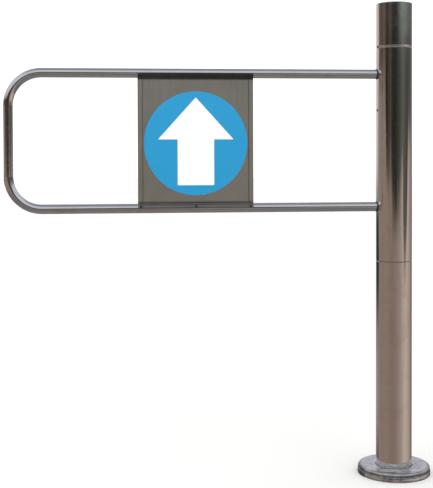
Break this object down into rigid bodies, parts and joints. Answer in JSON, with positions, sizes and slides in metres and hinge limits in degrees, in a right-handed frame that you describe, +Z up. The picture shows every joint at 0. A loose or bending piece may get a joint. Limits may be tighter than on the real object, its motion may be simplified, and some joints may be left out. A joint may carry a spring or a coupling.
{
  "type": "swing gate barrier",
  "caption": "Floor-mounted round post with a self-closing swing arm: a bent tube loop carrying a sheet panel with a direction arrow, turning on ball bearings between the lower post and the cap.",
  "frame": {"origin": "centre of the floor flange's underside, on the post's axis", "axes": "+Z up along the post; the closed arm points along -X and the sign faces -Y"},
  "size_m": [0.899, 0.154, 1.004],
  "materials": {
    "polished_post": "polished stainless steel, lightly scuffed",
    "polished_cap": "polished stainless steel",
    "polished_cover": "spun and polished stainless steel",
    "polished_rail": "polished stainless steel tube",
    "weld": "dressed weld",
    "satin_panel": "satin stainless sheet",
    "screw_steel": "plated screw",
    "sign_blue": "printed vinyl, satin",
    "sign_white": "printed vinyl, satin",
    "nylon": "natural nylon",
    "rubber": "moulded rubber",
    "machined_steel": "turned steel",
    "zinc_steel": "bright zinc plated steel",
    "bearing_steel": "ground bearing steel",
    "cage_steel": "drilled steel cage",
    "spring_steel": "oil-tempered spring wire",
    "flange_steel": "mild steel plate, galvanised"
  },
  "bodies": {
    "post": {"floor_plate": "flange_steel", "base_cover": "polished_cover", "lower_post": "polished_post", "post_plug": "machined_steel", "spindle": "machined_steel", "spindle_pin": "zinc_steel", "stop_buffers": "rubber", "lower_seam_ring": "nylon", "lower_bearing_inner": "bearing_steel", "lower_spacer": "zinc_steel", "spring_anchor": "machined_steel", "anchor_pin": "zinc_steel", "torsion_spring": "spring_steel", "upper_spacer": "zinc_steel", "upper_bearing_inner": "bearing_steel", "lock_washer": "zinc_steel", "lock_nut": "zinc_steel", "upper_seam_ring": "nylon", "cap_holder": "machined_steel", "cap_nut": "zinc_steel", "top_cap": "polished_cap", "cap_grub_screws": "screw_steel"},
    "gate": {"sleeve": "polished_post", "lower_hub": "machined_steel", "upper_hub": "machined_steel", "lower_bearing_outer": "bearing_steel", "upper_bearing_outer": "bearing_steel", "lower_circlip": "spring_steel", "upper_circlip": "spring_steel", "stop_lug": "machined_steel", "stop_lug_screws": "screw_steel", "spring_driver": "machined_steel", "driver_screw": "screw_steel", "gate_loop": "polished_rail", "weld_collars": "weld", "front_panel": "satin_panel", "back_panel": "satin_panel", "panel_screws": "screw_steel", "sign_disc": "sign_blue", "sign_arrow": "sign_white"},
    "lower_ball_set": {"lower_bearing_cage": "cage_steel", "lower_bearing_balls": "bearing_steel"},
    "upper_ball_set": {"upper_bearing_cage": "cage_steel", "upper_bearing_balls": "bearing_steel"}
  },
  "joints": [
    {"name": "gate_swing", "type": "hinge", "parent": "post", "child": "gate", "pos_m": [0, 0, 0], "axis": [0, 0, -1], "range_deg": [0, 90], "stiffness_Nm_per_rad": 2.5, "springref_deg": -68.75, "deforming": ["torsion_spring"]},
    {"name": "lower_balls_roll", "type": "hinge", "parent": "post", "child": "lower_ball_set", "pos_m": [0, 0, 0], "axis": [0, 0, -1], "range_deg": [0, 54.12]},
    {"name": "upper_balls_roll", "type": "hinge", "parent": "post", "child": "upper_ball_set", "pos_m": [0, 0, 0], "axis": [0, 0, -1], "range_deg": [0, 54.12]}
  ],
  "couplings": [
    {"joint": "lower_balls_roll", "follows": "gate_swing", "ratio": 0.6013},
    {"joint": "upper_balls_roll", "follows": "gate_swing", "ratio": 0.6013}
  ]
}
